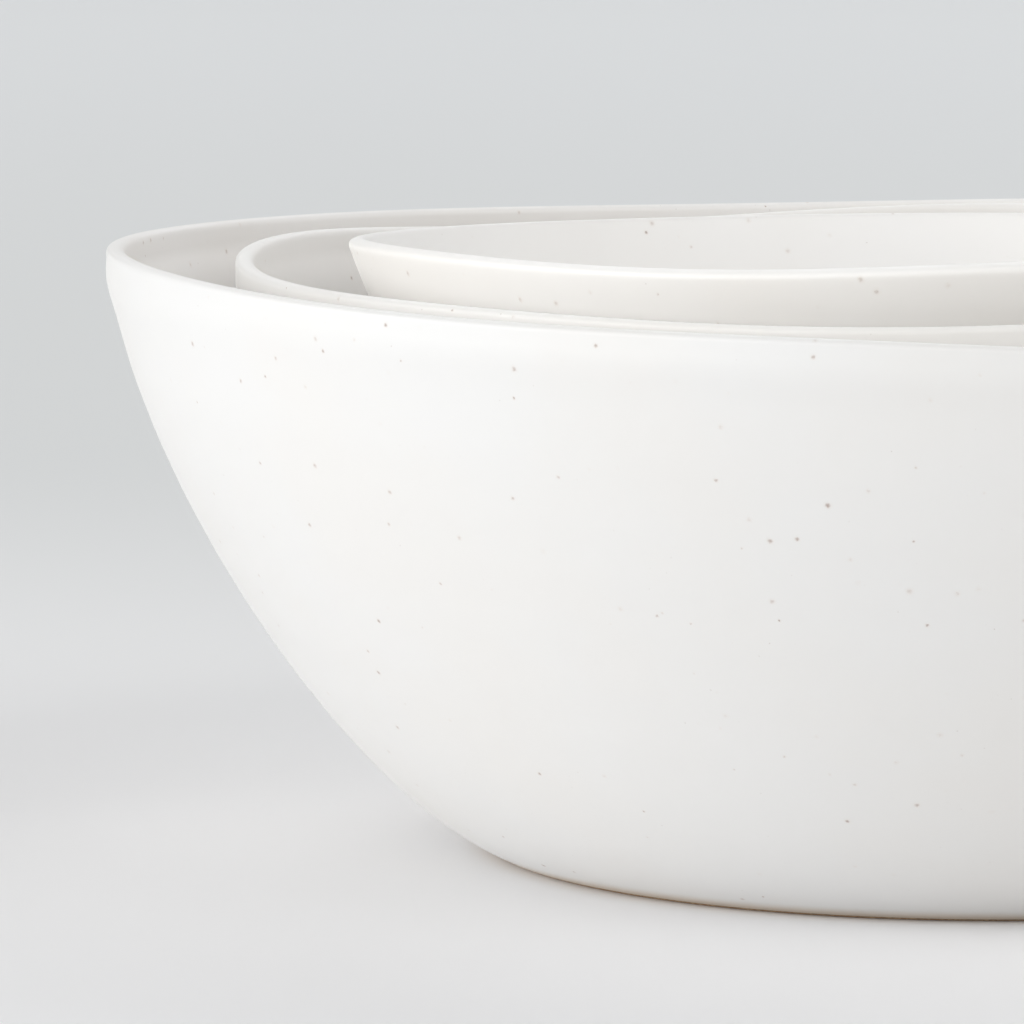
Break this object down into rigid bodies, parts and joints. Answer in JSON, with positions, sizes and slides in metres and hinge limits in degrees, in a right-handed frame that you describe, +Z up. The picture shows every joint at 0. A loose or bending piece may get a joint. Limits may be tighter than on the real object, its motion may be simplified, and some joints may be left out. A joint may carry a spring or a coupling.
{
  "type": "nest of three ceramic bowls",
  "caption": "Round-bellied ceramic serving bowls in a white speckled glaze, each nested inside the next larger one, on flat unglazed feet.",
  "frame": {"origin": "middle of the large bowl's foot, on the surface that it stands on", "axes": "+Z up along the axis of the large and the medium bowl; -Y is the front, the way the small bowl has slid; +X is to the right seen from the front"},
  "size_m": [0.28, 0.28, 0.1011],
  "materials": {
    "large_bowl_glaze": "satin white glaze with small iron speckles over a bare warm clay foot",
    "medium_bowl_glaze": "satin white glaze with small iron speckles over a bare warm clay foot",
    "small_bowl_glaze": "satin white glaze with small iron speckles over a bare warm clay foot"
  },
  "bodies": {
    "large_bowl": {"large_bowl": "large_bowl_glaze"},
    "medium_bowl": {"medium_bowl": "medium_bowl_glaze"},
    "small_bowl": {"small_bowl": "small_bowl_glaze"}
  },
  "joints": [
    {"name": "medium_bowl_lift", "type": "slide", "parent": "large_bowl", "child": "medium_bowl", "axis": [0, 0, 1], "range_m": [0, 0.1]},
    {"name": "small_bowl_lift", "type": "slide", "parent": "medium_bowl", "child": "small_bowl", "axis": [0, 0, 1], "range_m": [0, 0.09]}
  ]
}
